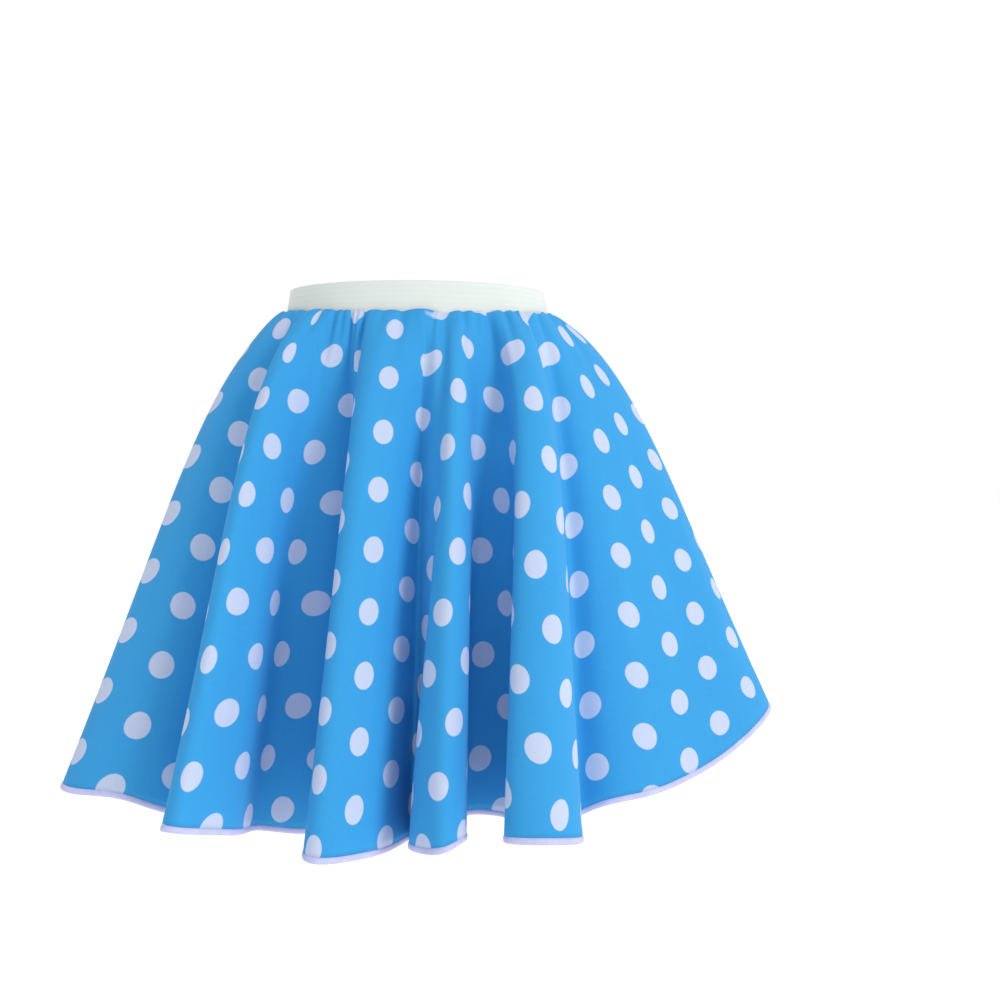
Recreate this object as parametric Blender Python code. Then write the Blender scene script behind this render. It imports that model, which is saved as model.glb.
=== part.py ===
"""A gathered circle skirt on an elastic waistband, hanging open as it does when worn.

The cloth is cut as a ring: two half-circle panels joined by side seams. Each point of it is named
by its cloth angle (round the ring) and its share of the way from the waist seam to the hem.
Metres, +Z up, the front faces -Y, and the origin is the middle of the waistband.
"""
import math
from collections import namedtuple

import bmesh
import bpy
import numpy as np

MM = 0.001

# The waistband, a flattened ring of elastic that widens downwards
BAND_HEIGHT = 30 * MM
BAND_WALL = 2.4 * MM
BAND_TOP_HALF_WIDTH = 119.0 * MM
BAND_TOP_HALF_DEPTH = 88.8 * MM
BAND_FLARE = 6.3 * MM
BAND_COLUMNS = 72

# The cloth as cut
WAIST_CUT_RADIUS = 137 * MM
SKIRT_LENGTH = 456 * MM
CLOTH_WALL = 1.2 * MM
SIDE_SEAM_ANGLE = 37
SIDE_SEAM_GAP = 0.8 * MM

# The cloth where it is sewn on, lapping the band's lower edge
SEAM_HALF_WIDTH = 127 * MM
SEAM_HALF_DEPTH = 97 * MM
SEAM_HEIGHT = -13.5 * MM
SEAM_RISE_AT_SIDES = 7 * MM

# The overlocked edge under each panel
EDGE_HEIGHT = 5 * MM
EDGE_WALL = 1.8 * MM
EDGE_GAP = 0.3 * MM

# How the cloth leaves the seam: it puffs out first, then falls straight
PUFF_SHARE = 0.175
FOLD_SPREAD = 0.9
MID_HALF_WIDTH = 280 * MM
MID_FRONT = 165 * MM
MID_BACK = 250 * MM

# Small gathers below the seam
GATHERS = 36
GATHER_DEPTH = 4.2 * MM
GATHER_RISE_SHARE = 0.02
GATHER_FADE_SHARE = 0.09

# Mesh resolution
FRONT_COLUMNS = 132
BACK_COLUMNS = 98
PANEL_SHARES = (0, 0.018, 0.045, 0.08, 0.125, 0.185, 0.27, 0.38, 0.52, 0.68, 0.84, 1)
FALL_STEPS = 192

# Where the cloth runs, hem and waist, from the right side over the front to the left side:
# cloth angle, waist azimuth (degrees), then in mm where its hem lies to the right and to the
# front, how much longer than SKIRT_LENGTH it is, and how far it puffs out below the seam
Fold = namedtuple("Fold", "place cloth waist right front longer puff")
FRONT_FOLDS = [
    Fold("right side, back", 33, 24, 314, -84, -8, 36),
    Fold("right side, far edge", 27, 14, 347, -34, -14, 36),
    Fold("right side, edge", 21.5, 4, 334, 14, -20, 37),
    Fold("right side, last quarter", 17.9, -2, 312, 42, -21, 38),
    Fold("right side, middle", 13.6, -9, 276, 70, -18, 40),
    Fold("right side, second quarter", 9.3, -16, 239, 94, -16, 40),
    Fold("right side, first quarter", 5, -23, 200, 114, -15, 40),
    Fold("right side, front", 1, -30.5, 160, 120, -15, 40),
    Fold("right valley", -1.8, -34, 139, 114, -8, 38),
    Fold("fold five, hidden right", -5.8, -40, 133, 160, 1, 36),
    Fold("fold five, right", -10.5, -45.5, 127, 215, 8, 36),
    Fold("fold five, crest", -14, -49.5, 100, 238, 8, 36),
    Fold("fold five, left", -18.2, -54, 67, 226, 2, 36),
    Fold("fold five, hidden left", -22.3, -57.5, 79, 182, -8, 36),
    Fold("valley four-five, right", -26.7, -62, 78, 136, -16, 36),
    Fold("valley four-five, left", -31.5, -67, 38, 130, -18, 36),
    Fold("fold four, hidden right", -35, -71, 38, 168, -8, 36),
    Fold("fold four, right", -38.2, -74, 35, 203, -4, 36),
    Fold("fold four, crest", -40.8, -77.5, 18, 222, 4, 36),
    Fold("fold four, left", -43.3, -80.5, 0, 205, 3, 36),
    Fold("fold four, hidden left", -47.5, -83.5, -8, 165, 0, 36),
    Fold("valley three-four", -51.5, -87.5, -6, 124, 0, 36),
    Fold("fold three, right", -57.5, -94.5, -36, 181, 6, 36),
    Fold("fold three, middle", -60.5, -98.5, -57, 197, 10, 36),
    Fold("fold three, crest", -63.5, -102, -80, 208, 13, 36),
    Fold("fold three, left", -65.8, -105, -92, 198, 10, 36),
    Fold("fold three, hidden left", -70.4, -110, -76, 158, -6, 36),
    Fold("fold three, pocket side", -75, -113.5, -56, 118, -6, 36),
    Fold("fold three, pocket", -78.5, -115.5, -36, 90, -6, 36),
    Fold("valley two-three, right", -84.3, -119, -88, 98, 1, 36),
    Fold("valley two-three, left", -90.5, -124, -140, 109, 0, 36),
    Fold("fold two, right", -95.5, -128.5, -150, 162, -2, 36),
    Fold("fold two, middle", -99, -131.5, -170, 194, 1, 36),
    Fold("fold two, crest", -101.8, -134, -190, 212, 6, 36),
    Fold("fold two, left", -104, -136.5, -202, 202, 7, 38),
    Fold("fold two, hidden left", -108.3, -142, -186, 160, 2, 38),
    Fold("valley one-two", -112.3, -147.5, -173, 120, -7, 38),
    Fold("left side, front", -116.5, -155, -213, 132, -7, 36),
    Fold("left side, middle", -120.6, -161.5, -255, 130, -7, 33),
    Fold("left side, outer", -124.2, -167.5, -296, 112, 3, 26),
    Fold("left side, edge", -127.4, -175, -309, 86, 5, 26),
    Fold("left side, back", -138, -187, -206, 52, -4, 36),
]

# The flutes of the back, from the left side to the right: crest azimuth (degrees), how far the
# crest and the valley after it reach (mm), its share of the cloth, and its half width (degrees)
Flute = namedtuple("Flute", "azimuth crest valley share half_width")
BACK_FLUTES = [
    Flute(-180, 302, 192, 24.5, 6.0),
    Flute(-203, 292, 186, 25.0, 6.6),
    Flute(-228, 312, 196, 27.0, 6.4),
    Flute(-254, 296, 182, 26.0, 6.8),
    Flute(-279, 304, 190, 26.5, 6.4),
    Flute(-303, 312, 198, 25.5, 6.8),
    Flute(-324, 330, 235, 25.5, 5.6),
]
BACK_CLOTH = (-139, -319)
BACK_WAIST = (-188, -329)
BACK_LAST_VALLEY = -345
BACK_LONGER = -5
BACK_PUFF = 40
FLUTE_SHOULDER = 26
VALLEY_HALF_WIDTH = 1.6

BLUE_CLOTH = (0.03, 0.27, 0.70)
OFF_WHITE_ELASTIC = (0.75, 0.80, 0.76)
LAVENDER_THREAD = (0.52, 0.54, 0.86)


def backFolds():
    """The back flutes as rows of the same kind as the front folds."""
    folds = []
    total = sum(flute.share for flute in BACK_FLUTES)
    azimuths = [flute.azimuth for flute in BACK_FLUTES[1:]] + [BACK_LAST_VALLEY]
    done = 0
    for number, (flute, following) in enumerate(zip(BACK_FLUTES, azimuths), 1):
        middle = (flute.azimuth + following) / 2
        shoulder = flute.crest - FLUTE_SHOULDER
        outline = [
            (flute.azimuth + flute.half_width, shoulder, 0.35),
            (flute.azimuth, flute.crest, 0.5),
            (flute.azimuth - flute.half_width, shoulder, 0.65),
            (middle + VALLEY_HALF_WIDTH, flute.valley, 0.955),
            (middle - VALLEY_HALF_WIDTH, flute.valley, 1.045),
        ]
        if number == len(BACK_FLUTES):
            outline.pop()
        for azimuth, reach, along in outline:
            share = (done + flute.share * along) / total
            turn = math.radians(azimuth)
            folds.append(Fold(
                f"back flute {number}",
                BACK_CLOTH[0] + share * (BACK_CLOTH[1] - BACK_CLOTH[0]),
                BACK_WAIST[0] + share * (BACK_WAIST[1] - BACK_WAIST[0]),
                reach * math.cos(turn),
                -reach * math.sin(turn),
                BACK_LONGER,
                BACK_PUFF,
            ))
        done += flute.share
    return folds


def periodicSpline(knots, values, period):
    """A cubic curve through the values that closes smoothly after one period."""
    count = len(knots)
    steps = np.diff(np.append(knots, knots[0] + period))
    matrix = np.zeros((count, count))
    right = np.zeros(values.shape)
    for this in range(count):
        after = (this + 1) % count
        before = this - 1
        matrix[this, before] += steps[before]
        matrix[this, this] += 2 * (steps[before] + steps[this])
        matrix[this, after] += steps[this]
        rise = (values[after] - values[this]) / steps[this]
        fall = (values[this] - values[before]) / steps[before]
        right[this] = 6 * (rise - fall)
    bends = np.linalg.solve(matrix, right)

    def curve(places):
        wrapped = (places - knots[0]) % period + knots[0]
        left = np.clip(np.searchsorted(knots, wrapped, side="right") - 1, 0, count - 1)
        after = (left + 1) % count
        step = steps[left][:, None]
        near = (wrapped - knots[left])[:, None]
        far = step - near
        cubic = (bends[left] * far ** 3 + bends[after] * near ** 3) / (6 * step)
        start = (values[left] / step - bends[left] * step / 6) * far
        end = (values[after] / step - bends[after] * step / 6) * near
        return cubic + start + end

    return curve


def foldCurve():
    """Hem place, waist turn, extra length and puff as one smooth curve of the cloth angle."""
    folds = FRONT_FOLDS + backFolds()
    folds = [fold._replace(cloth=fold.cloth % 360, waist=fold.waist + fold.cloth % 360 - fold.cloth)
             for fold in folds]
    folds.sort(key=lambda fold: fold.cloth)
    knots = np.array([float(fold.cloth) for fold in folds])
    values = np.array([
        (fold.right * MM, -fold.front * MM, fold.waist - fold.cloth, fold.longer * MM, fold.puff * MM)
        for fold in folds
    ])
    return periodicSpline(knots, values, 360)


def fallingCloth(curve, angles, shares):
    """Points of the cloth's outer face, one row for each share and one column for each angle.

    Each thread of the cloth keeps its length: what it runs outwards it doesn't fall.
    """
    values = curve(angles)
    hem = values[:, :2]
    waist = np.radians(values[:, 2] + angles)
    longer = values[:, 3]
    puff = values[:, 4]
    seam = np.stack([SEAM_HALF_WIDTH * np.cos(waist), SEAM_HALF_DEPTH * np.sin(waist)], 1)
    outward = np.stack([np.cos(waist) / SEAM_HALF_WIDTH, np.sin(waist) / SEAM_HALF_DEPTH], 1)
    outward /= np.linalg.norm(outward, axis=1)[:, None]

    # A fold's depth is what its hem has beyond the middle line between crests and valleys
    reach = np.linalg.norm(hem, axis=1)
    ray = hem / reach[:, None]
    side = np.where(ray[:, 1] < 0, MID_FRONT, MID_BACK)
    middle = 1 / np.hypot(ray[:, 0] / MID_HALF_WIDTH, ray[:, 1] / side)
    depth = (reach - middle)[:, None] * ray

    share = np.linspace(0, shares.max(), FALL_STEPS + 1)[:, None, None]
    whole = 1 - math.exp(-1 / PUFF_SHARE)
    swell = (1 - np.exp(-share / PUFF_SHARE)) / whole
    early = FOLD_SPREAD * share * (1 - share) ** 3
    plan = seam + outward * puff[:, None] * (swell - share) + (hem - seam) * share + depth * early

    rise = SEAM_RISE_AT_SIDES * np.cos(waist) ** 2
    length = SKIRT_LENGTH + longer + rise
    step = shares.max() / FALL_STEPS
    run = np.linalg.norm(np.diff(plan, axis=0), axis=2) / step
    fall = np.sqrt(np.maximum(length ** 2 - run ** 2, (0.2 * length) ** 2))
    height = np.vstack([rise, rise - np.cumsum(fall, axis=0) * step]) + SEAM_HEIGHT

    # Gathers lift the cloth off the seam line, then fade into the folds
    turn = np.radians(angles)
    uneven = GATHERS * turn + 1.1 * np.sin(5 * turn) + 0.8 * np.sin(11 * turn + 1)
    lift = 0.5 + 0.5 * np.cos(uneven)
    flat = share[:, :, 0]
    fade = np.exp(-flat / GATHER_FADE_SHARE) * (0.3 + 0.7 * (1 - np.exp(-flat / GATHER_RISE_SHARE)))
    plan += outward * (GATHER_DEPTH * fade * lift)[:, :, None]

    points = np.zeros((len(shares), len(angles), 3))
    for column in range(len(angles)):
        for axis, heights in ((0, plan[:, column, 0]), (1, plan[:, column, 1]), (2, height[:, column])):
            points[:, column, axis] = np.interp(shares, share[:, 0, 0], heights)
    return points


def sheetObject(name, rows, closed, wall, outside, color, roughness):
    """A sheet through rows of points, its wall given by a Solidify modifier."""
    shape = bmesh.new()
    grid = [[shape.verts.new(point) for point in row] for row in rows]
    columns = len(rows[0])
    for upper, lower in zip(grid, grid[1:]):
        for column in range(columns if closed else columns - 1):
            following = (column + 1) % columns
            shape.faces.new((upper[column], lower[column], lower[following], upper[following]))
    mesh = bpy.data.meshes.new(name)
    shape.to_mesh(mesh)
    shape.free()
    mesh.shade_smooth()
    piece = bpy.data.objects.new(name, mesh)
    bpy.context.scene.collection.objects.link(piece)
    solidify = piece.modifiers.new("wall", "SOLIDIFY")
    solidify.thickness = wall
    solidify.offset = 2 * outside / wall - 1
    material = bpy.data.materials.new(name)
    material.use_nodes = True
    shader = material.node_tree.nodes["Principled BSDF"]
    shader.inputs["Base Color"].default_value = (*color, 1)
    shader.inputs["Roughness"].default_value = roughness
    shader.inputs["Metallic"].default_value = 0
    mesh.materials.append(material)
    return piece


def makeWaistband():
    """The elastic, an open ring between its top and bottom edges."""
    rows = []
    for share in (0, 0.5, 1):
        width = BAND_TOP_HALF_WIDTH + BAND_FLARE * share
        depth = BAND_TOP_HALF_DEPTH + BAND_FLARE * share
        height = BAND_HEIGHT * (0.5 - share)
        turns = [2 * math.pi * column / BAND_COLUMNS for column in range(BAND_COLUMNS)]
        rows.append([(width * math.cos(turn), depth * math.sin(turn), height) for turn in turns])
    sheetObject("waistband", rows, True, BAND_WALL, 0, OFF_WHITE_ELASTIC, 0.9)


def makePanel(curve, side, firstAngle, columns):
    """One half-circle panel and the overlocked edge that finishes its hem."""
    panelEnd = 1 - (EDGE_HEIGHT + EDGE_GAP) / SKIRT_LENGTH
    edgeStart = 1 - EDGE_HEIGHT / SKIRT_LENGTH
    for name, shares, wall, outside, color in (
        (f"skirt_{side}", np.array(PANEL_SHARES) * panelEnd, CLOTH_WALL, 0, BLUE_CLOTH),
        (f"hem_edge_{side}", np.array((edgeStart, 1)), EDGE_WALL, (EDGE_WALL - CLOTH_WALL) / 2,
         LAVENDER_THREAD),
    ):
        angles = np.linspace(firstAngle, firstAngle + 180, columns + 1)
        rows = fallingCloth(curve, angles, shares)
        for row in rows:
            trimRow(row)
        sheetObject(name, rows, False, wall, outside, color, 0.85)


def trimRow(row):
    """Draw both ends of a row back by half the side seam's gap."""
    for end, inner in ((0, 1), (-1, -2)):
        inwards = row[inner] - row[end]
        row[end] += inwards * (SIDE_SEAM_GAP / 2 / np.linalg.norm(inwards))


def main():
    for piece in list(bpy.data.objects):
        bpy.data.objects.remove(piece, do_unlink=True)
    curve = foldCurve()
    makeWaistband()
    makePanel(curve, "front", SIDE_SEAM_ANGLE - 180, FRONT_COLUMNS)
    makePanel(curve, "back", SIDE_SEAM_ANGLE, BACK_COLUMNS)


main()
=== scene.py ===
import math
from collections import namedtuple

import bmesh
import bpy
import numpy as np
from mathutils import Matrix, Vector


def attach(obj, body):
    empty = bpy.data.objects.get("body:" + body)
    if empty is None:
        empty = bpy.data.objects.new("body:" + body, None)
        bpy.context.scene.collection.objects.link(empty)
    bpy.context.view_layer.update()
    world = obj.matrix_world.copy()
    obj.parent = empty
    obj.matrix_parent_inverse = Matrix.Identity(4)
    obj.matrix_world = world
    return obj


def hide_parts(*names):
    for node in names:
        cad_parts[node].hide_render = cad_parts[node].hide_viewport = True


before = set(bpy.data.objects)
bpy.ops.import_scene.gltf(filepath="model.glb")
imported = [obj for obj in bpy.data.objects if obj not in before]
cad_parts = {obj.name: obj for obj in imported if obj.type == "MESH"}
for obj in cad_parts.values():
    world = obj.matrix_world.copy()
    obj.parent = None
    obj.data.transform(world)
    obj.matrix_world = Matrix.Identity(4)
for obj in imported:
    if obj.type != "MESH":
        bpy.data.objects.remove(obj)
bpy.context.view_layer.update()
mm = 0.001
print("frame loaded:", ", ".join(sorted(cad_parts)))

cloth = {
    "waistCut": 137 * mm,      # radius of the hole in the ring of cloth
    "length": 456 * mm,        # seam to hem
    "seamWidth": 127 * mm,     # half width and half depth where it meets the band
    "seamDepth": 97 * mm,
    "seamHeight": -13.5 * mm,
    "sideRise": 7 * mm,        # how far the seam climbs the band at the sides
    "puffShare": 0.175,        # how far down the puff has most of its size
    "foldSpread": 0.9,         # how early the folds deepen below the seam
    "middleWidth": 280 * mm,   # the line midway between crests and valleys
    "middleFront": 165 * mm,
    "middleBack": 250 * mm,
    "leastFall": 0.2,          # a thread always falls at least this share of its length
    "sideSeam": 37,            # cloth angle of the right side seam
    "seamGap": 0.5 * mm,
    "wall": 0.9 * mm,
    "steps": 240,
}

# cloth angle and waist azimuth in degrees, then mm: hem to the right, hem to the front,
# extra length, puff below the seam
Fold = namedtuple("Fold", "place cloth waist right front longer puff")
frontFolds = [
    Fold("right side, back", 33, 24, 314, -84, -8, 36),
    Fold("right side, far edge", 27, 14, 347, -34, -14, 36),
    Fold("right side, edge", 21.5, 4, 334, 14, -20, 37),
    Fold("right side, last quarter", 17.9, -2, 312, 42, -21, 38),
    Fold("right side, middle", 13.6, -9, 276, 70, -18, 40),
    Fold("right side, second quarter", 9.3, -16, 239, 94, -16, 40),
    Fold("right side, first quarter", 5, -23, 200, 114, -15, 40),
    Fold("right side, front", 1, -30.5, 160, 120, -15, 40),
    Fold("right valley", -1.8, -34, 139, 114, -8, 38),
    Fold("fold five, hidden right", -5.8, -40, 133, 160, 1, 36),
    Fold("fold five, right", -10.5, -45.5, 127, 215, 8, 36),
    Fold("fold five, crest", -14, -49.5, 100, 238, 8, 36),
    Fold("fold five, left", -18.2, -54, 67, 226, 2, 36),
    Fold("fold five, hidden left", -22.3, -57.5, 79, 182, -8, 36),
    Fold("valley four-five, right", -26.7, -62, 78, 136, -16, 36),
    Fold("valley four-five, left", -31.5, -67, 38, 130, -18, 36),
    Fold("fold four, hidden right", -35, -71, 38, 168, -8, 36),
    Fold("fold four, right", -38.2, -74, 35, 203, -4, 36),
    Fold("fold four, crest", -40.8, -77.5, 18, 222, 4, 36),
    Fold("fold four, left", -43.3, -80.5, 0, 205, 3, 36),
    Fold("fold four, hidden left", -47.5, -83.5, -8, 165, 0, 36),
    Fold("valley three-four", -51.5, -87.5, -6, 124, 0, 36),
    Fold("fold three, right", -57.5, -94.5, -36, 181, 6, 36),
    Fold("fold three, middle", -60.5, -98.5, -57, 197, 10, 36),
    Fold("fold three, crest", -63.5, -102, -80, 208, 13, 36),
    Fold("fold three, left", -65.8, -105, -92, 198, 10, 36),
    Fold("fold three, hidden left", -70.4, -110, -76, 158, -6, 36),
    Fold("fold three, pocket side", -75, -113.5, -56, 118, -6, 36),
    Fold("fold three, pocket", -78.5, -115.5, -36, 90, -6, 36),
    Fold("valley two-three, right", -84.3, -119, -88, 98, 1, 36),
    Fold("valley two-three, left", -90.5, -124, -140, 109, 0, 36),
    Fold("fold two, right", -95.5, -128.5, -150, 162, -2, 36),
    Fold("fold two, middle", -99, -131.5, -170, 194, 1, 36),
    Fold("fold two, crest", -101.8, -134, -190, 212, 6, 36),
    Fold("fold two, left", -104, -136.5, -202, 202, 7, 38),
    Fold("fold two, hidden left", -108.3, -142, -186, 160, 2, 38),
    Fold("valley one-two", -112.3, -147.5, -173, 120, -7, 38),
    Fold("left side, front", -116.5, -155, -213, 132, -7, 36),
    Fold("left side, middle", -120.6, -161.5, -255, 130, -7, 33),
    Fold("left side, outer", -124.2, -167.5, -296, 112, 3, 26),
    Fold("left side, edge", -127.4, -175, -309, 86, 5, 26),
    Fold("left side, back", -138, -187, -206, 52, -4, 36),
]

# crest azimuth, reach of the crest and of the valley after it (mm), share of cloth, half width
Flute = namedtuple("Flute", "azimuth crest valley share halfWidth")
backFlutes = [
    Flute(-180, 302, 192, 24.5, 6.0),
    Flute(-203, 292, 186, 25.0, 6.6),
    Flute(-228, 312, 196, 27.0, 6.4),
    Flute(-254, 296, 182, 26.0, 6.8),
    Flute(-279, 304, 190, 26.5, 6.4),
    Flute(-303, 312, 198, 25.5, 6.8),
    Flute(-324, 330, 235, 25.5, 5.6),
]
backSpan = {"cloth": (-139, -319), "waist": (-188, -329), "lastValley": -345,
            "longer": -5, "puff": 40, "shoulder": 26, "valleyHalfWidth": 1.6}


def backFolds():
    folds = []
    total = sum(flute.share for flute in backFlutes)
    azimuths = [flute.azimuth for flute in backFlutes[1:]] + [backSpan["lastValley"]]
    (cloth0, cloth1), (waist0, waist1) = backSpan["cloth"], backSpan["waist"]
    done = 0
    for number, (flute, following) in enumerate(zip(backFlutes, azimuths), 1):
        middle = (flute.azimuth + following) / 2
        shoulder = flute.crest - backSpan["shoulder"]
        outline = [
            (flute.azimuth + flute.halfWidth, shoulder, 0.35),
            (flute.azimuth, flute.crest, 0.5),
            (flute.azimuth - flute.halfWidth, shoulder, 0.65),
            (middle + backSpan["valleyHalfWidth"], flute.valley, 0.955),
            (middle - backSpan["valleyHalfWidth"], flute.valley, 1.045),
        ]
        if number == len(backFlutes):
            outline.pop()
        for azimuth, reach, along in outline:
            share = (done + flute.share * along) / total
            turn = math.radians(azimuth)
            folds.append(Fold(f"back flute {number}", cloth0 + share * (cloth1 - cloth0),
                              waist0 + share * (waist1 - waist0), reach * math.cos(turn),
                              -reach * math.sin(turn), backSpan["longer"], backSpan["puff"]))
        done += flute.share
    return folds


def periodicSpline(knots, values, period):
    # a smooth closed curve through the values
    count = len(knots)
    steps = np.diff(np.append(knots, knots[0] + period))
    matrix = np.zeros((count, count))
    right = np.zeros(values.shape)
    for this in range(count):
        after = (this + 1) % count
        before = this - 1
        matrix[this, before] += steps[before]
        matrix[this, this] += 2 * (steps[before] + steps[this])
        matrix[this, after] += steps[this]
        rise = (values[after] - values[this]) / steps[this]
        fall = (values[this] - values[before]) / steps[before]
        right[this] = 6 * (rise - fall)
    bends = np.linalg.solve(matrix, right)

    def curve(places):
        wrapped = (places - knots[0]) % period + knots[0]
        left = np.clip(np.searchsorted(knots, wrapped, side="right") - 1, 0, count - 1)
        after = (left + 1) % count
        step = steps[left][:, None]
        near = (wrapped - knots[left])[:, None]
        far = step - near
        cubic = (bends[left] * far ** 3 + bends[after] * near ** 3) / (6 * step)
        start = (values[left] / step - bends[left] * step / 6) * far
        end = (values[after] / step - bends[after] * step / 6) * near
        return cubic + start + end

    return curve


def foldCurve():
    folds = frontFolds + backFolds()
    folds = [fold._replace(cloth=fold.cloth % 360, waist=fold.waist + fold.cloth % 360 - fold.cloth)
             for fold in folds]
    folds.sort(key=lambda fold: fold.cloth)
    values = np.array([(fold.right * mm, -fold.front * mm, fold.waist - fold.cloth,
                        fold.longer * mm, fold.puff * mm) for fold in folds])
    return periodicSpline(np.array([float(fold.cloth) for fold in folds]), values, 360)


clothCurve = foldCurve()

# Troughs that start at the band: cloth angle, half width (degrees), depth (mm), how far down
# they run (share of the length), and how many degrees they lean on the way
Trough = namedtuple("Trough", "cloth halfWidth depth runs leans")
frontTroughs = [
    Trough(27, 2.0, 3.0, 0.10, 0),
    Trough(20, 1.6, 2.4, 0.07, 0.5),
    Trough(12.5, 1.8, 3.2, 0.12, -1),
    Trough(5.5, 1.6, 2.6, 0.08, 0),
    Trough(-1, 1.3, 2.0, 0.05, 0),
    Trough(-7, 1.9, 4.4, 0.20, 0.5),
    Trough(-12.5, 1.3, 2.2, 0.06, 0),
    Trough(-17.5, 1.5, 3.2, 0.12, 0.5),
    Trough(-26, 2.2, 5.4, 0.24, -1),
    Trough(-31, 1.3, 2.0, 0.05, 0),
    Trough(-36, 1.5, 3.0, 0.09, 0),
    Trough(-42, 2.4, 6.0, 0.30, -3),
    Trough(-47.5, 1.3, 1.8, 0.05, 0),
    Trough(-52.5, 3.4, -4.5, 0.34, 0),
    Trough(-58.5, 1.5, 3.2, 0.09, -0.5),
    Trough(-64.5, 1.3, 2.0, 0.05, 0),
    Trough(-71.5, 1.6, 5.6, 0.30, -0.5),
    Trough(-76, 1.3, 2.2, 0.06, 0),
    Trough(-80.5, 1.6, 3.6, 0.10, -0.5),
    Trough(-86, 1.3, 2.2, 0.06, 0),
    Trough(-90.5, 1.6, 3.4, 0.11, 0),
    Trough(-98.5, 1.5, 2.4, 0.07, 0),
    Trough(-107, 2.2, 4.4, 0.22, -2),
    Trough(-113, 1.6, 2.4, 0.08, 0),
    Trough(-119.5, 1.8, 2.8, 0.08, 0),
    Trough(-127, 2.0, 3.2, 0.12, 0),
    Trough(-134, 2.0, 3.6, 0.16, 0),
]
gathers = {
    "lift": 3.6 * mm,          # how far the cloth stands off the band between troughs
    "startShare": 0.42,        # share of the lift at the cut edge itself
    "riseShare": 0.012,        # and how far down it has most of the rest
    "fadeShare": 0.10,
    "lap": 0.35,               # the cut edge climbs the band by this share of its lift
    "lapShare": 0.01,
    "backSteps": 20,
    "backWander": 1.1,         # degrees off an even row
    "backHalfWidth": 2.1,
    "backDepth": 3.0,
    "backDepthVaries": 1.1,
    "backRuns": 0.12,
    "backRunsVaries": 0.05,
}

# Soft creases lower down: cloth angle, half width, depth (mm, + outwards),
# share where they start and end, lean in degrees
Crease = namedtuple("Crease", "cloth halfWidth depth starts ends leans")
softCreases = [
    Crease(12.5, 1.6, -1.6, 0.20, 0.95, 1.5),
    Crease(4.5, 1.5, 1.5, 0.30, 1.00, 1.0),
    Crease(19, 1.8, 1.8, 0.35, 0.90, 1.0),
    Crease(-12, 1.2, 1.0, 0.35, 0.80, -1.0),
    Crease(-30, 1.5, -1.5, 0.25, 0.75, 0),
    Crease(-43.5, 2.6, -6.5, 0.08, 1.00, -6.5),
    Crease(-57.5, 1.2, -1.2, 0.30, 0.85, 0.8),
    Crease(-62, 1.1, 1.0, 0.15, 0.60, -1.0),
    Crease(-87, 1.6, 1.8, 0.25, 0.90, -1.5),
    Crease(-97.5, 1.1, -1.0, 0.40, 0.95, 0),
    Crease(-119, 1.5, 1.4, 0.30, 0.95, -1.0),
    Crease(-123.5, 1.2, -1.2, 0.20, 0.70, -0.5),
    Crease(-152, 1.5, 1.4, 0.30, 0.90, 1.0),
    Crease(-176, 1.6, -1.6, 0.25, 0.80, -1.0),
    Crease(158, 1.5, 1.5, 0.35, 0.95, 1.2),
    Crease(131, 1.4, -1.4, 0.30, 0.85, 0.6),
    Crease(105, 1.7, 1.6, 0.20, 0.90, -1.0),
    Crease(80, 1.5, -1.5, 0.30, 0.95, 0.8),
    Crease(54, 1.6, 1.5, 0.25, 0.85, 1.0),
]


def allTroughs():
    rows = list(frontTroughs)
    span = 360 - (frontTroughs[0].cloth - frontTroughs[-1].cloth)
    for number in range(1, gathers["backSteps"]):
        # sines of unlike pitch make the row uneven, the same way each time
        place = frontTroughs[0].cloth + span * number / gathers["backSteps"]
        wander = math.sin(2.3 * number) + 0.6 * math.sin(5.1 * number + 1)
        depth = gathers["backDepth"] + gathers["backDepthVaries"] * math.sin(3.7 * number + 0.4)
        runs = gathers["backRuns"] + gathers["backRunsVaries"] * math.sin(1.9 * number)
        place += gathers["backWander"] * wander
        rows.append(Trough(place, gathers["backHalfWidth"], depth, runs, 0.5 * wander))
    return rows


def angleFrom(angles, middle):
    return (angles - middle + 180) % 360 - 180


def surfaceDetail(angles, shares):
    # how far each point stands off the plain folds, outwards
    share = shares[:, None]
    started = gathers["startShare"] + (1 - gathers["startShare"]) * (
        1 - np.exp(-share / gathers["riseShare"]))
    lifted = gathers["lift"] * started * np.exp(-share / gathers["fadeShare"])
    offset = lifted * np.ones((1, len(angles)))
    for row in allTroughs():
        apart = angleFrom(angles[None], row.cloth + row.leans * share / row.runs) / row.halfWidth
        offset -= row.depth * mm * started * np.exp(-apart ** 2 - (share / row.runs) ** 2)
    for row in softCreases:
        along = np.clip((share - row.starts) / (row.ends - row.starts), 0, 1)
        swell = np.sin(math.pi * along) ** 2
        apart = angleFrom(angles[None], row.cloth + row.leans * along) / row.halfWidth
        offset += row.depth * mm * swell * np.exp(-apart ** 2)
    return offset


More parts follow.
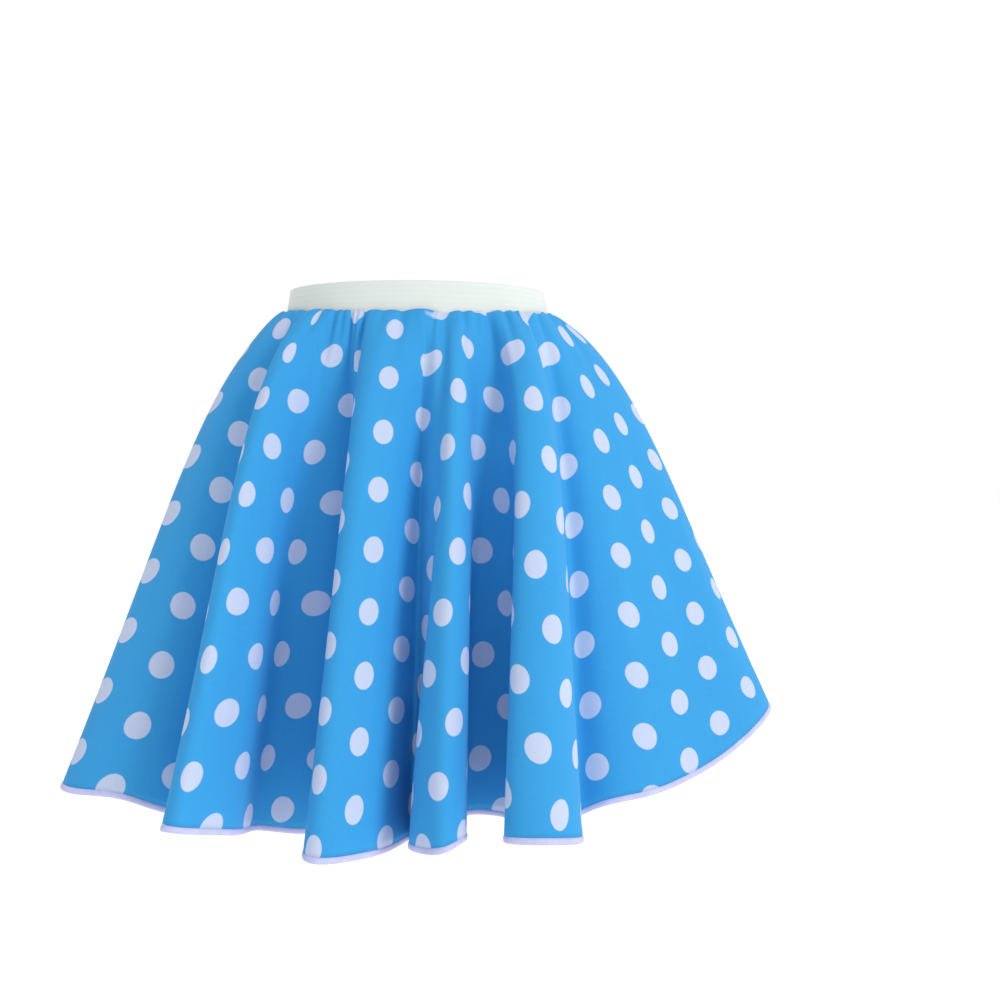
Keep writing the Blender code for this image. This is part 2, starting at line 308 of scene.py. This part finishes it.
def hangingCloth(angles, shares):
    # outer face of the cloth and its outward normals: a row per share, a column per angle
    values = clothCurve(angles)
    hem = values[:, :2]
    waist = np.radians(values[:, 2] + angles)
    width, depth = cloth["seamWidth"], cloth["seamDepth"]
    seam = np.stack([width * np.cos(waist), depth * np.sin(waist)], 1)
    outward = np.stack([np.cos(waist) / width, np.sin(waist) / depth], 1)
    outward /= np.linalg.norm(outward, axis=1)[:, None]

    reach = np.linalg.norm(hem, axis=1)
    ray = hem / reach[:, None]
    side = np.where(ray[:, 1] < 0, cloth["middleFront"], cloth["middleBack"])
    middle = 1 / np.hypot(ray[:, 0] / cloth["middleWidth"], ray[:, 1] / side)
    foldDepth = (reach - middle)[:, None] * ray

    steps = cloth["steps"]
    share = np.linspace(0, shares.max(), steps + 1)[:, None, None]
    puffShare = cloth["puffShare"]
    swell = (1 - np.exp(-share / puffShare)) / (1 - math.exp(-1 / puffShare))
    early = cloth["foldSpread"] * share * (1 - share) ** 3
    plan = seam + outward * values[:, 4:5] * (swell - share)
    plan += (hem - seam) * share + foldDepth * early

    # a thread keeps its length: the further it runs outwards, the less it falls
    rise = cloth["sideRise"] * np.cos(waist) ** 2
    length = cloth["length"] + values[:, 3] + rise
    step = shares.max() / steps
    run = np.linalg.norm(np.diff(plan, axis=0), axis=2) / step
    fall = np.sqrt(np.maximum(length ** 2 - run ** 2, (cloth["leastFall"] * length) ** 2))
    height = np.vstack([rise, rise - np.cumsum(fall, axis=0) * step]) + cloth["seamHeight"]

    whole = np.concatenate([plan, height[:, :, None]], 2)
    place = np.clip(shares / step, 0, steps - 1e-9)
    below = place.astype(int)
    part = (place - below)[:, None, None]
    points = whole[below] * (1 - part) + whole[below + 1] * part
    aroundWay = np.gradient(points, axis=1)
    downWay = whole[below + 1] - whole[below]
    normals = np.cross(downWay, aroundWay)
    normals /= np.linalg.norm(normals, axis=2)[:, :, None]
    detail = surfaceDetail(angles, shares)
    points = points + normals * detail[:, :, None]
    # between gathers the cut edge laps a little higher over the band
    lapped = np.exp(-shares / gathers["lapShare"])[:, None]
    points[:, :, 2] += gathers["lap"] * detail[:1] * lapped
    return points, normals


print("cloth form ready:", len(frontFolds), "rows in front,", len(backFlutes), "flutes behind")

dots = {"spacing": 52.5 * mm, "diameter": 22.6 * mm}

# How far the print lies off the plain cut: cloth angle, then mm down at the top, middle and
# hem, and mm along the cloth at the same three places
Drift = namedtuple("Drift", "cloth down along")
printDrift = [
    Drift(120, (0, 0, 0), (0, 0, 0)),
    Drift(95, (0, 0, 0), (4, 1, 0)),
    Drift(70, (1, 0, 0), (13, 6, -1)),
    Drift(50, (3, 1, 0), (25, 13, -3)),
    Drift(36, (5, 1, 0), (35, 18, -5)),
    Drift(27, (6, 1, 0), (40, 21, -6)),
    Drift(21, (8, 3, 0), (46, 26, -9)),
    Drift(16, (14, 9, 5), (42, 24, -4)),
    Drift(11, (20, 13, 8), (27, 12, -7)),
    Drift(6, (24, 19, 11), (15, 6, -9)),
    Drift(1.5, (29, 27, 20), (4.5, 5, -5)),
    Drift(-4.5, (28, 26, 20), (11.5, 8, -4)),
    Drift(-11, (6, 4, 4), (20, 12, -4)),
    Drift(-14, (5, 2, -5), (14, 9, -9)),
    Drift(-17, (3, 1, -3), (12, 6, -6)),
    Drift(-24.5, (4, 6, 8), (20.5, 8, 1)),
    Drift(-30, (10, 7, 3), (16.5, 1, -2)),
    Drift(-36.5, (7, 9, 8), (19, 12, 4)),
    Drift(-41, (8, 10, 14), (8, 6, 5)),
    Drift(-48, (3, 15, 19), (6, 5, 3)),
    Drift(-53, (5, 17, 22), (12, 7, 7)),
    Drift(-60, (6, 20, 24), (-1, 0, 1)),
    Drift(-70, (6, 17, 21), (-6, -5, -2)),
    Drift(-85, (6, 17, 21), (-8, -7, -3)),
    Drift(-90, (4, 13, 16), (-7, -4, 0)),
    Drift(-93.5, (1, 10, 12), (-5, -8, 1)),
    Drift(-97, (-3, 7, 11), (-4, -12, 2)),
    Drift(-101, (-3, 6, 6), (-21, -14, 3)),
    Drift(-104.5, (-3, 4, 8), (-29, -25, 0)),
    Drift(-109, (1, 4, 4), (-15, -14, 0)),
    Drift(-115, (0, -1, -7), (-17, -14, 4)),
    Drift(-121, (1, -1, -6), (-26, -18, 4)),
    Drift(-128, (-1, -2, -6), (-17, -14, 5)),
    Drift(-150, (0, 0, 0), (0, 0, 0)),
    Drift(-180, (0, 0, 0), (0, 0, 0)),
    Drift(-200, (0, 0, 0), (0, 0, 0)),
]
driftShares = (0.15, 0.5, 0.9)


def driftCurve():
    rows = sorted(printDrift, key=lambda row: row.cloth % 360)
    knots = np.array([float(row.cloth % 360) for row in rows])
    values = np.array([row.down + row.along for row in rows]) * mm
    return periodicSpline(knots, values, 360)


def printPlaces(angles, shares):
    # where each point of the cloth lies on the flat printed ring, in metres
    drift = driftCurve()(angles)
    top, middle, low = driftShares
    s = shares[:, None]
    weights = (
        (s - middle) * (s - low) / ((top - middle) * (top - low)),
        (s - top) * (s - low) / ((middle - top) * (middle - low)),
        (s - top) * (s - middle) / ((low - top) * (low - middle)),
    )
    down = sum(weight * drift[:, k] for k, weight in enumerate(weights))
    along = sum(weight * drift[:, k + 3] for k, weight in enumerate(weights))
    radius = cloth["waistCut"] + cloth["length"] * s + down
    turn = np.radians(angles)[None] + along / radius
    return np.stack([radius * np.cos(turn), radius * np.sin(turn)], 2)


def gridPiece(name, points, places, materials, closed=False):
    # a bmesh grid with its points laid on the rows of points, and a UV map of flat places
    rows, columns = points.shape[:2]
    shape = bmesh.new()
    bmesh.ops.create_grid(shape, x_segments=columns - 1, y_segments=rows - 1, size=0.5)
    uv = shape.loops.layers.uv.new("flat")
    for vert in shape.verts:
        column = round((vert.co.x + 0.5) * (columns - 1))
        row = round((0.5 - vert.co.y) * (rows - 1))
        vert.co = points[row, column]
        for loop in vert.link_loops:
            loop[uv].uv = places[row, column]
    if closed:
        bmesh.ops.remove_doubles(shape, verts=shape.verts, dist=1e-6)
    mesh = bpy.data.meshes.new(name)
    shape.to_mesh(mesh)
    shape.free()
    mesh.shade_smooth()
    piece = bpy.data.objects.new(name, mesh)
    bpy.context.scene.collection.objects.link(piece)
    for material in materials:
        mesh.materials.append(material)
    return piece


def addWall(piece, wall, offset=-1, inside=0):
    solid = piece.modifiers.new("wall", "SOLIDIFY")
    solid.thickness = wall
    solid.offset = offset
    solid.material_offset = inside
    return solid


class Nodes:
    # a short way to add and join shader nodes
    def __init__(self, name, color, roughness):
        self.material = bpy.data.materials.new(name)
        self.material.use_nodes = True
        self.tree = self.material.node_tree
        self.shader = self.tree.nodes["Principled BSDF"]
        self.shader.inputs["Base Color"].default_value = (*color, 1)
        self.shader.inputs["Roughness"].default_value = roughness

    def add(self, kind, sockets=None, **settings):
        node = self.tree.nodes.new(kind)
        for key, value in settings.items():
            setattr(node, key, value)
        for key, value in (sockets or {}).items():
            if isinstance(value, bpy.types.NodeSocket):
                self.tree.links.new(value, node.inputs[key])
            else:
                node.inputs[key].default_value = value
        return node

    def math(self, operation, first, second=0.0, clamp=False):
        return self.add("ShaderNodeMath", {0: first, 1: second}, operation=operation,
                        use_clamp=clamp).outputs[0]

    def vector(self, operation, first, second=(0, 0, 0), output="Vector"):
        return self.add("ShaderNodeVectorMath", {0: first, 1: second},
                        operation=operation).outputs[output]

    def mix(self, factor, first, second, blend="MIX"):
        node = self.add("ShaderNodeMix", data_type="RGBA", blend_type=blend)
        for key, value in ((0, factor), (6, first), (7, second)):
            if isinstance(value, bpy.types.NodeSocket):
                self.tree.links.new(value, node.inputs[key])
            else:
                node.inputs[key].default_value = value
        return node.outputs[2]

    def noise(self, place, scale, detail):
        return self.add("ShaderNodeTexNoise", {"Vector": place, "Scale": scale,
                                               "Detail": detail}).outputs[0]

    def ranged(self, value, lows, highs, kind="LINEAR"):
        # takes the range between lows[0] and highs[0] to the one between lows[1] and highs[1]
        return self.add("ShaderNodeMapRange", {
            "Value": value, "From Min": lows[0], "From Max": highs[0],
            "To Min": lows[1], "To Max": highs[1]}, interpolation_type=kind).outputs[0]

    def toned(self, color, tone):
        # the color made lighter and darker by tone, a number near 1
        grey = self.add("ShaderNodeCombineColor", {"Red": tone, "Green": tone, "Blue": tone})
        self.color(self.mix(1.0, color, grey.outputs[0], "MULTIPLY"))

    def bump(self, height, strength, distance):
        node = self.add("ShaderNodeBump", {"Height": height, "Strength": strength,
                                           "Distance": distance})
        self.tree.links.new(node.outputs[0], self.shader.inputs["Normal"])

    def color(self, socket):
        self.tree.links.new(socket, self.shader.inputs["Base Color"])

    def sheen(self, weight, specular=0.5, roughness=0.5):
        self.shader.inputs["Sheen Weight"].default_value = weight
        self.shader.inputs["Sheen Roughness"].default_value = roughness
        self.shader.inputs["Specular IOR Level"].default_value = specular


clothLooks = {
    "blue": (0.038, 0.322, 0.690),
    "dot": (0.51, 0.59, 0.79),
    "reverseBlue": (0.045, 0.295, 0.670),
    "reverseDot": (0.46, 0.53, 0.73),
    "roughness": 0.82,
    "threadPitch": 0.9 * mm,
    "dotEdge": 0.5 * mm,       # half the soft rim of a dot
    "dotWander": 0.6 * mm,     # how ragged that rim is, and on the reverse
    "reverseWander": 1.2 * mm,
    "tones": (0.93, 1.07),     # the darkest and the lightest patches
    "weaveDepth": 0.12 * mm,
}


def dottedCloth(name, ground, dot, wander):
    nodes = Nodes(name, ground, clothLooks["roughness"])
    flat = nodes.add("ShaderNodeUVMap", uv_map="flat").outputs[0]
    across, up = dots["spacing"], dots["spacing"] * math.sqrt(3)
    cell = nodes.vector("DIVIDE", flat, (across, up, 1))
    near = []
    for shift in (0.5, 0.0):
        moved = nodes.vector("ADD", cell, (shift, shift, 0.5))
        local = nodes.vector("SUBTRACT", nodes.vector("FRACTION", moved), (0.5, 0.5, 0.5))
        near.append(nodes.vector("LENGTH", nodes.vector("MULTIPLY", local, (across, up, 0)),
                                 output="Value"))
    apart = nodes.math("MINIMUM", *near)
    ragged = nodes.noise(flat, 900.0, 2.0)
    rough = nodes.math("MULTIPLY", nodes.math("SUBTRACT", ragged, 0.5), wander)
    apart = nodes.math("ADD", apart, rough)
    rim, soft = dots["diameter"] / 2, clothLooks["dotEdge"]
    edge = nodes.ranged(apart, (rim - soft, 1.0), (rim + soft, 0.0), "SMOOTHSTEP")

    # warp and weft: two sets of fine ribs with slubs that drift in thickness
    weave = []
    for turned in (0, 1):
        stretch = (1, 0.05, 1) if turned else (0.05, 1, 1)
        slub = nodes.noise(nodes.vector("MULTIPLY", flat, stretch), 700.0, 3.0)
        rib = nodes.add("ShaderNodeTexWave", {
            "Vector": flat, "Scale": 1 / clothLooks["threadPitch"] / 20 * math.pi,
            "Distortion": 1.2, "Detail": 1.0, "Detail Scale": 2.0},
            bands_direction="XY"[turned])
        weave.append(nodes.math("ADD", nodes.math("MULTIPLY", rib.outputs["Fac"], 0.5), slub))
    height = nodes.math("ADD", *weave)
    cloudy = nodes.noise(flat, 9.0, 4.0)
    darkest, lightest = clothLooks["tones"]
    tone = nodes.ranged(nodes.math("ADD", height, cloudy), (0.9, darkest), (2.3, lightest))
    nodes.toned(nodes.mix(edge, (*ground, 1), (*dot, 1)), tone)
    nodes.bump(height, 0.25, clothLooks["weaveDepth"])
    nodes.sheen(0.05, specular=0.2, roughness=0.45)
    return nodes.material


elasticLooks = {"color": (0.725, 0.78, 0.75), "roughness": 0.78, "tones": (0.975, 1.015),
                "knitDepth": 0.08 * mm}


def elasticMaterial():
    nodes = Nodes("off-white elastic", elasticLooks["color"], elasticLooks["roughness"])
    place = nodes.add("ShaderNodeTexCoord").outputs["Object"]
    ribs = nodes.add("ShaderNodeTexWave", {"Vector": place, "Scale": 62.0, "Distortion": 0.6,
                                           "Detail": 1.0}, bands_direction="Z")
    knit = nodes.noise(nodes.vector("MULTIPLY", place, (1, 1, 0.4)), 900.0, 3.0)
    height = nodes.math("ADD", ribs.outputs["Fac"], knit)
    cloudy = nodes.math("ADD", nodes.math("MULTIPLY", height, 0.5), nodes.noise(place, 25.0, 3.0))
    darkest, lightest = elasticLooks["tones"]
    tone = nodes.ranged(cloudy, (0.6, darkest), (1.5, lightest))
    nodes.toned((*elasticLooks["color"], 1), tone)
    nodes.bump(height, 0.2, elasticLooks["knitDepth"])
    nodes.sheen(0.15, specular=0.25)
    return nodes.material


threadLooks = {"color": (0.56, 0.58, 0.90), "roughness": 0.7, "tones": (0.86, 1.08),
               "strandDepth": 0.2 * mm}


def threadMaterial():
    nodes = Nodes("lavender overlock thread", threadLooks["color"], threadLooks["roughness"])
    flat = nodes.add("ShaderNodeUVMap", uv_map="flat").outputs[0]
    strands = nodes.noise(nodes.vector("MULTIPLY", flat, (1, 0.2, 1)), 1400.0, 3.0)
    uneven = nodes.math("ADD", strands, nodes.noise(flat, 60.0, 3.0))
    darkest, lightest = threadLooks["tones"]
    tone = nodes.ranged(uneven, (0.7, darkest), (1.3, lightest))
    nodes.toned((*threadLooks["color"], 1), tone)
    nodes.bump(strands, 0.3, threadLooks["strandDepth"])
    nodes.sheen(0.2)
    return nodes.material


outerCloth = dottedCloth("blue dotted cloth", clothLooks["blue"], clothLooks["dot"],
                         clothLooks["dotWander"])
innerCloth = dottedCloth("reverse of the cloth", clothLooks["reverseBlue"],
                         clothLooks["reverseDot"], clothLooks["reverseWander"])
elastic = elasticMaterial()
thread = threadMaterial()
print("materials ready")

panels = {
    "front": {"from": cloth["sideSeam"] - 180, "columns": 400, "rows": 112},
    "back": {"from": cloth["sideSeam"], "columns": 340, "rows": 100},
}
rowSpacing = 1.35              # above 1, the rows of faces crowd towards the gathers
hemEdge = {
    "height": 5 * mm,
    "thick": 1.9 * mm,
    "pitch": 2.4 * mm,         # from stitch to stitch
    "ridge": 0.35 * mm,
    "slant": 0.5,              # stitches that a ridge leans either way
    "overhang": 1.04,
    "wrapStep": 1.3 * mm,      # thread laid from one row round the edge to the next
    "columnsPerStitch": 5,
    "around": 9,
}


def panelAngles(side, columns):
    # the ends stand half a seam gap off the seam, measured where the hem is
    start = panels[side]["from"]
    back = math.degrees(cloth["seamGap"] / 2 / (cloth["waistCut"] + cloth["length"]))
    return np.linspace(start + back, start + 180 - back, columns)


def makePanel(side):
    rows = panels[side]["rows"]
    angles = panelAngles(side, panels[side]["columns"])
    end = 1 - hemEdge["height"] / cloth["length"]
    shares = end * np.linspace(0, 1, rows) ** rowSpacing
    points, normals = hangingCloth(angles, shares)
    piece = gridPiece(f"dotted_panel_{side}", points, printPlaces(angles, shares),
                      [outerCloth, innerCloth])
    addWall(piece, cloth["wall"], inside=1)
    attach(piece, "root")
    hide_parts(f"skirt_{side}")
    return piece


def makeHemEdge(side):
    # overlock thread wrapped round the cut edge: a flat tube with slanting ridges
    hemLength = math.pi * (cloth["waistCut"] + cloth["length"])
    stitches = round(hemLength / hemEdge["pitch"])
    columns = stitches * hemEdge["columnsPerStitch"] + 1
    angles = panelAngles(side, columns)
    start = 1 - hemEdge["height"] / cloth["length"]
    ends, normals = hangingCloth(angles, np.array([start, 1.0]))
    middle = ends.mean(axis=0) - normals[0] * cloth["wall"] / 2
    down = (ends[1] - ends[0]) / 2
    along = np.arange(columns) / hemEdge["columnsPerStitch"]
    points = np.zeros((hemEdge["around"] + 1, columns, 3))
    for row in range(hemEdge["around"] + 1):
        turn = 2 * math.pi * row / hemEdge["around"]
        stitch = along + hemEdge["slant"] * math.cos(turn)
        ridge = 1 + hemEdge["ridge"] / hemEdge["thick"] * 2 * np.abs(np.sin(math.pi * stitch))
        points[row] = (middle + down * math.cos(turn) * hemEdge["overhang"]
                       + normals[0] * (hemEdge["thick"] / 2 * math.sin(turn) * ridge)[:, None])
    places = np.zeros((hemEdge["around"] + 1, columns, 2))
    places[:, :, 0] = along * hemEdge["pitch"]
    places[:, :, 1] = (np.arange(hemEdge["around"] + 1) * hemEdge["wrapStep"])[:, None]
    piece = gridPiece(f"overlock_{side}", points, places, [thread], closed=True)
    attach(piece, "root")
    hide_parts(f"hem_edge_{side}")
    return piece


for side in panels:
    panel = makePanel(side)
    edging = makeHemEdge(side)
    print("panel made:", side, len(panel.data.polygons), "faces")

Wave = namedtuple("Wave", "size count start")
band = {
    "height": 30 * mm,
    "around": 690 * mm,
    "wall": 2.2 * mm,
    "topWidth": 119.0 * mm,
    "topDepth": 88.8 * mm,
    "flare": 6.3 * mm,
    "columns": 361,
    "rows": 61,
    "rib": 0.03 * mm,
    "ribCount": 17,
    "edgeCord": 0.35 * mm,
    "edgeCordShare": 0.03,
    "waves": (Wave(0.5 * mm, 3, 0.7), Wave(0.35 * mm, 7, 2)),
    "sitsIn": 0.3 * mm,        # drawn in, as the ribs, cords and waves stand out
}


def makeWaistband():
    # a ring of elastic with shallow ribs along it and a firmer edge at top and bottom
    turns = np.linspace(0, 2 * math.pi, band["columns"])
    down = np.linspace(0, 1, band["rows"])[:, None]
    uneven = sum(wave.size * np.sin(wave.count * turns + wave.start) for wave in band["waves"])
    lift = band["rib"] * np.cos(2 * math.pi * band["ribCount"] * down)
    for fromEdge in (down, 1 - down):
        lift = lift + band["edgeCord"] * np.exp(-(fromEdge / band["edgeCordShare"]) ** 2)
    lift = lift + uneven * np.sin(math.pi * down) ** 2 - band["sitsIn"]
    width = band["topWidth"] + band["flare"] * down + lift
    depth = band["topDepth"] + band["flare"] * down + lift
    points = np.stack([
        width * np.cos(turns),
        depth * np.sin(turns),
        band["height"] * (0.5 - down) + 0 * turns,
    ], 2)
    places = np.stack([
        band["around"] * turns / (2 * math.pi) + 0 * down,
        band["height"] * down + 0 * turns,
    ], 2)
    piece = gridPiece("elastic_waistband", points, places, [elastic], closed=True)
    shape = bmesh.new()
    shape.from_mesh(piece.data)
    bmesh.ops.recalc_face_normals(shape, faces=shape.faces)
    shape.to_mesh(piece.data)
    shape.free()
    addWall(piece, band["wall"])
    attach(piece, "root")
    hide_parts("waistband")
    return piece


makeWaistband()
print("waistband made")

studio = {
    "floorHeight": -1.15,
    "floorSize": 60.0,
    "paper": (0.96, 0.96, 0.96),
    "paperRoughness": 0.95,
    "paperGlow": 0.16,
    "behind": 1.0,             # how bright the room is behind the skirt and in front of it
    "inFront": 0.50,
    "changes": (-0.5, 0.6),    # the part of the room, front to back, in which it changes
}


def makeFloor():
    shape = bmesh.new()
    bmesh.ops.create_grid(shape, x_segments=1, y_segments=1, size=studio["floorSize"] / 2)
    bmesh.ops.translate(shape, vec=(0, 0, studio["floorHeight"]), verts=shape.verts)
    mesh = bpy.data.meshes.new("paper_floor")
    shape.to_mesh(mesh)
    shape.free()
    paper = bpy.data.materials.new("pale paper")
    paper.use_nodes = True
    sockets = paper.node_tree.nodes["Principled BSDF"].inputs
    sockets["Base Color"].default_value = (*studio["paper"], 1)
    sockets["Roughness"].default_value = studio["paperRoughness"]
    sockets["Emission Color"].default_value = (1, 1, 1, 1)
    sockets["Emission Strength"].default_value = studio["paperGlow"]
    mesh.materials.append(paper)
    floor = bpy.data.objects.new("paper_floor", mesh)
    bpy.context.scene.collection.objects.link(floor)


sun = {"toward": (0.66, -0.58, 0.48), "strength": 1.58, "spread": 20, "color": (1, 0.99, 0.97)}
fill = {"place": (-1.9, -1.5, 0.3), "target": (0, 0, -0.2), "size": 2.0, "watts": 5,
        "color": (0.95, 0.97, 1)}


def aimLamp(light, place, direction):
    lamp = bpy.data.objects.new(light.name, light)
    lamp.location = place
    lamp.rotation_euler = Vector(direction).to_track_quat("-Z", "Y").to_euler()
    bpy.context.scene.collection.objects.link(lamp)


def makeLamps():
    light = bpy.data.lights.new("key", "SUN")
    light.energy = sun["strength"]
    light.angle = math.radians(sun["spread"])
    light.color = sun["color"]
    toward = Vector(sun["toward"])
    aimLamp(light, 2 * toward, -toward)
    light = bpy.data.lights.new("fill", "AREA")
    light.shape = "DISK"
    light.size = fill["size"]
    light.energy = fill["watts"]
    light.color = fill["color"]
    aimLamp(light, fill["place"], Vector(fill["target"]) - Vector(fill["place"]))


def makeWorld():
    # white behind the skirt, dimmer on the viewer's side so that the folds keep their shade
    world = bpy.data.worlds.new("studio")
    world.use_nodes = True
    tree = world.node_tree
    place = tree.nodes.new("ShaderNodeTexCoord")
    parts = tree.nodes.new("ShaderNodeSeparateXYZ")
    tree.links.new(place.outputs["Generated"], parts.inputs[0])
    level = tree.nodes.new("ShaderNodeMapRange")
    level.interpolation_type = "SMOOTHSTEP"
    nearer, farther = studio["changes"]
    for socket, value in (("From Min", nearer), ("From Max", farther),
                          ("To Min", studio["inFront"]), ("To Max", studio["behind"])):
        level.inputs[socket].default_value = value
    tree.links.new(parts.outputs["Y"], level.inputs["Value"])
    tree.links.new(level.outputs[0], tree.nodes["Background"].inputs["Strength"])
    tree.nodes["Background"].inputs["Color"].default_value = (1, 1, 1, 1)
    bpy.context.scene.world = world
    bpy.context.scene.view_settings.view_transform = "Standard"


camera = {"back": 1.2, "height": -0.1475, "aimRight": 77.9 * mm, "aimDown": 32.3 * mm,
          "lens": 45.47, "sensor": 36}


def makeCamera():
    data = bpy.data.cameras.new("camera")
    data.lens = camera["lens"]
    data.sensor_width = camera["sensor"]
    view = bpy.data.objects.new("camera", data)
    place = Vector((0, -camera["back"], camera["height"]))
    target = Vector((camera["aimRight"], 0, camera["height"] - camera["aimDown"]))
    view.location = place
    view.rotation_euler = (target - place).to_track_quat("-Z", "Y").to_euler()
    bpy.context.scene.collection.objects.link(view)
    bpy.context.scene.camera = view


makeFloor()
makeLamps()
makeWorld()
makeCamera()
print("studio ready")
